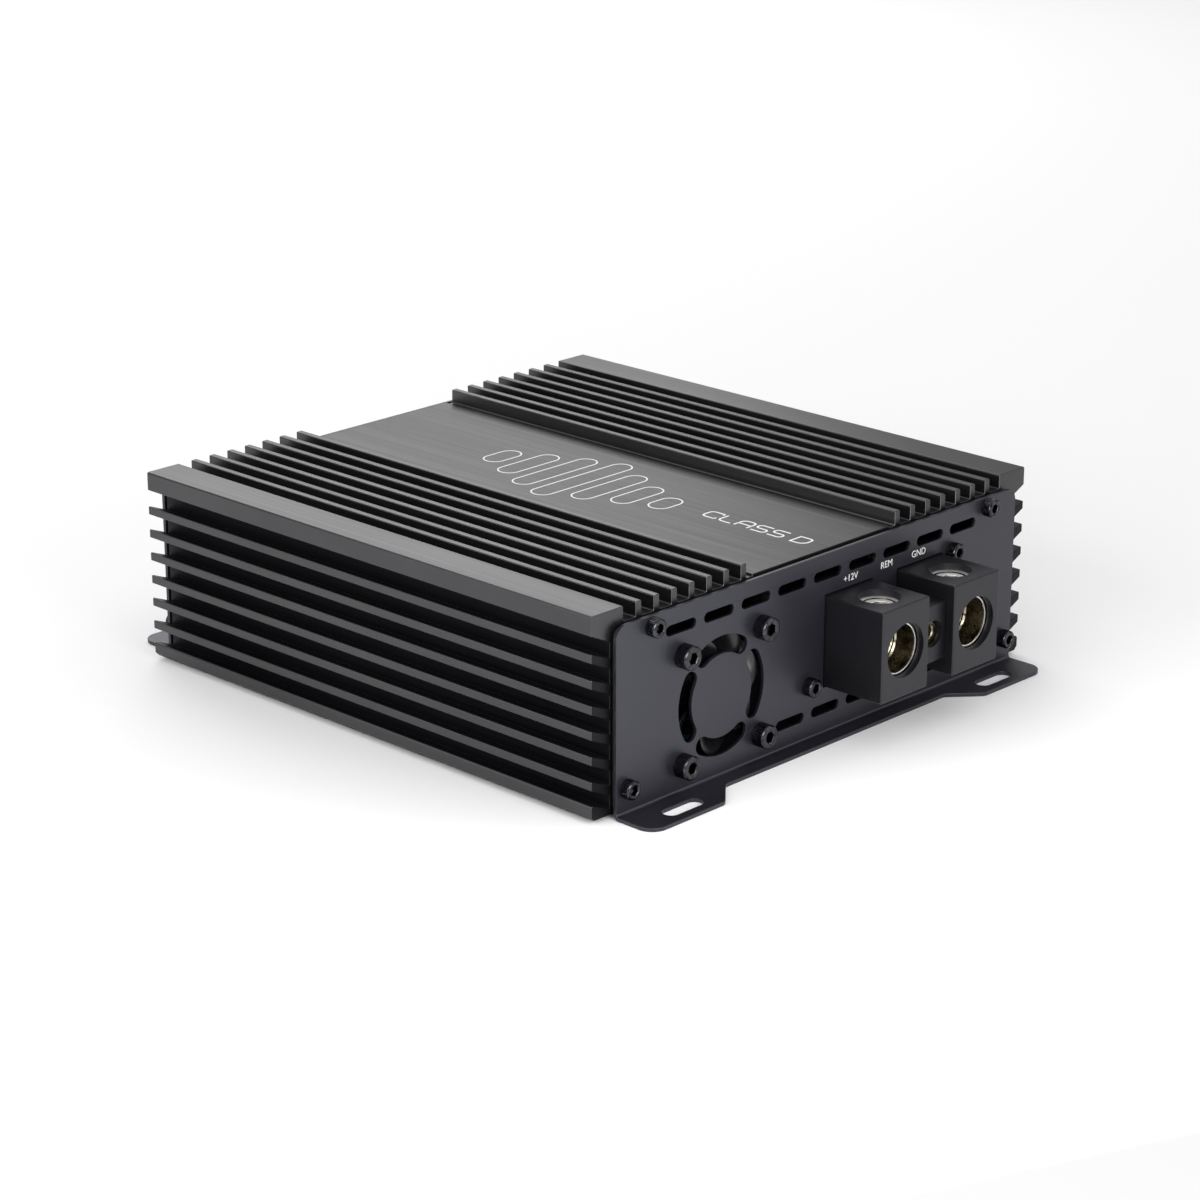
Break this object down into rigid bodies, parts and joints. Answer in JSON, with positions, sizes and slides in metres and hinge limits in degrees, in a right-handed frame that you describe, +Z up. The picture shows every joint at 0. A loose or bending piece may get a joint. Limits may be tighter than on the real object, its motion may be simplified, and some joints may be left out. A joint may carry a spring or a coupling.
{
  "type": "car amplifier",
  "caption": "Mono car audio amplifier: a finned aluminium heatsink body between footed end panels, with a cooling fan, heavy cable terminals, signal sockets and controls.",
  "frame": {"origin": "middle of the footprint, on the surface the feet stand on", "axes": "+X across the fins, to the right as seen from the cable terminal end; +Y along the fins, from the cable terminals to the controls; +Z up"},
  "size_m": [0.1868, 0.2246, 0.0597],
  "materials": {
    "anodised_aluminium": "black anodised, fine extrusion lines",
    "powder_coat": "satin black powder coat",
    "black_steel": "black oxide",
    "black_plastic": "fine moulded texture",
    "gloss_black_plastic": "smooth moulded",
    "seal_rubber": "matt",
    "nickel": "nickel-plated brass",
    "gold_brass": "gold-plated",
    "circuit_board": "green solder mask",
    "copper_winding": "enamelled copper wire",
    "bare_aluminium": "mill finish",
    "blue_lens": "clear tinted",
    "red_lens": "clear tinted"
  },
  "bodies": {
    "amplifier": {"heatsink_housing": "anodised_aluminium", "bottom_cover": "powder_coat", "terminal_end_panel": "powder_coat", "control_end_panel": "powder_coat", "terminal_panel_screw_upper_left": "black_steel", "terminal_panel_screw_upper_right": "black_steel", "terminal_panel_screw_lower_left": "black_steel", "terminal_panel_screw_lower_right": "black_steel", "control_panel_screw_upper_left": "black_steel", "control_panel_screw_upper_right": "black_steel", "control_panel_screw_lower_left": "black_steel", "control_panel_screw_lower_right": "black_steel", "fan_screw_1": "black_steel", "fan_screw_2": "black_steel", "fan_screw_3": "black_steel", "fan_screw_4": "black_steel", "terminal_screw_lower": "black_steel", "terminal_screw_upper": "black_steel", "fan_frame": "black_plastic", "power_terminal_housing": "black_plastic", "speaker_terminal_housing": "black_plastic", "rca_socket_body": "black_plastic", "gain_potentiometer": "black_plastic", "low_pass_potentiometer": "black_plastic", "bass_boost_potentiometer": "black_plastic", "left_transistor_1": "black_plastic", "left_transistor_2": "black_plastic", "right_transistor_1": "black_plastic", "right_transistor_2": "black_plastic", "remote_level_port": "gloss_black_plastic", "phase_switch_body": "gloss_black_plastic", "input_capacitor_1": "gloss_black_plastic", "input_capacitor_2": "gloss_black_plastic", "output_capacitor": "gloss_black_plastic", "terminal_end_gasket": "seal_rubber", "control_end_gasket": "seal_rubber", "positive_clamp": "nickel", "ground_clamp": "nickel", "remote_clamp": "nickel", "speaker_positive_clamp": "nickel", "speaker_negative_clamp": "nickel", "left_rca_shell": "gold_brass", "right_rca_shell": "gold_brass", "main_circuit_board": "circuit_board", "power_transformer": "copper_winding", "output_choke": "copper_winding", "left_clamp_bar": "bare_aluminium", "right_clamp_bar": "bare_aluminium", "power_led": "blue_lens", "protect_led": "red_lens"},
    "fan": {"fan_rotor": "gloss_black_plastic"},
    "positive_screw": {"positive_set_screw": "nickel"},
    "ground_screw": {"ground_set_screw": "nickel"},
    "remote_screw": {"remote_set_screw": "nickel"},
    "speaker_positive_screw": {"speaker_positive_set_screw": "nickel"},
    "speaker_negative_screw": {"speaker_negative_set_screw": "nickel"},
    "gain_control": {"gain_knob": "gloss_black_plastic"},
    "low_pass_control": {"low_pass_knob": "gloss_black_plastic"},
    "bass_boost_control": {"bass_boost_knob": "gloss_black_plastic"},
    "phase_switch": {"phase_switch_slider": "gloss_black_plastic"}
  },
  "joints": [
    {"name": "fan_spin", "type": "hinge", "parent": "amplifier", "child": "fan", "pos_m": [-0.0443, -0.08475, 0.0248], "axis": [0, 1, 0], "continuous": true},
    {"name": "positive_screw_turn", "type": "hinge", "parent": "amplifier", "child": "positive_screw", "pos_m": [0.0095, -0.10225, 0.0404], "axis": [0, 0, 1], "range_deg": [-1050, 510]},
    {"name": "ground_screw_turn", "type": "hinge", "parent": "amplifier", "child": "ground_screw", "pos_m": [0.0415, -0.10225, 0.0404], "axis": [0, 0, 1], "range_deg": [-1050, 510]},
    {"name": "remote_screw_turn", "type": "hinge", "parent": "amplifier", "child": "remote_screw", "pos_m": [0.0255, -0.10215, 0.0347], "axis": [0, 0, 1], "range_deg": [-1290, 750]},
    {"name": "speaker_positive_screw_turn", "type": "hinge", "parent": "amplifier", "child": "speaker_positive_screw", "pos_m": [-0.03, 0.10465, 0.0374], "axis": [0, 0, 1], "range_deg": [-1410, 270]},
    {"name": "speaker_negative_screw_turn", "type": "hinge", "parent": "amplifier", "child": "speaker_negative_screw", "pos_m": [-0.052, 0.10465, 0.0374], "axis": [0, 0, 1], "range_deg": [-1410, 270]},
    {"name": "gain_turn", "type": "hinge", "parent": "amplifier", "child": "gain_control", "pos_m": [0.036, 0.10125, 0.0272], "axis": [0, -1, 0], "range_deg": [-140, 140]},
    {"name": "low_pass_turn", "type": "hinge", "parent": "amplifier", "child": "low_pass_control", "pos_m": [0.022, 0.10125, 0.0272], "axis": [0, -1, 0], "range_deg": [-140, 140]},
    {"name": "bass_boost_turn", "type": "hinge", "parent": "amplifier", "child": "bass_boost_control", "pos_m": [0.008, 0.10125, 0.0272], "axis": [0, -1, 0], "range_deg": [-140, 140]},
    {"name": "phase_switch_slide", "type": "slide", "parent": "amplifier", "child": "phase_switch", "axis": [-1, 0, 0], "range_m": [0, 0.004]}
  ]
}
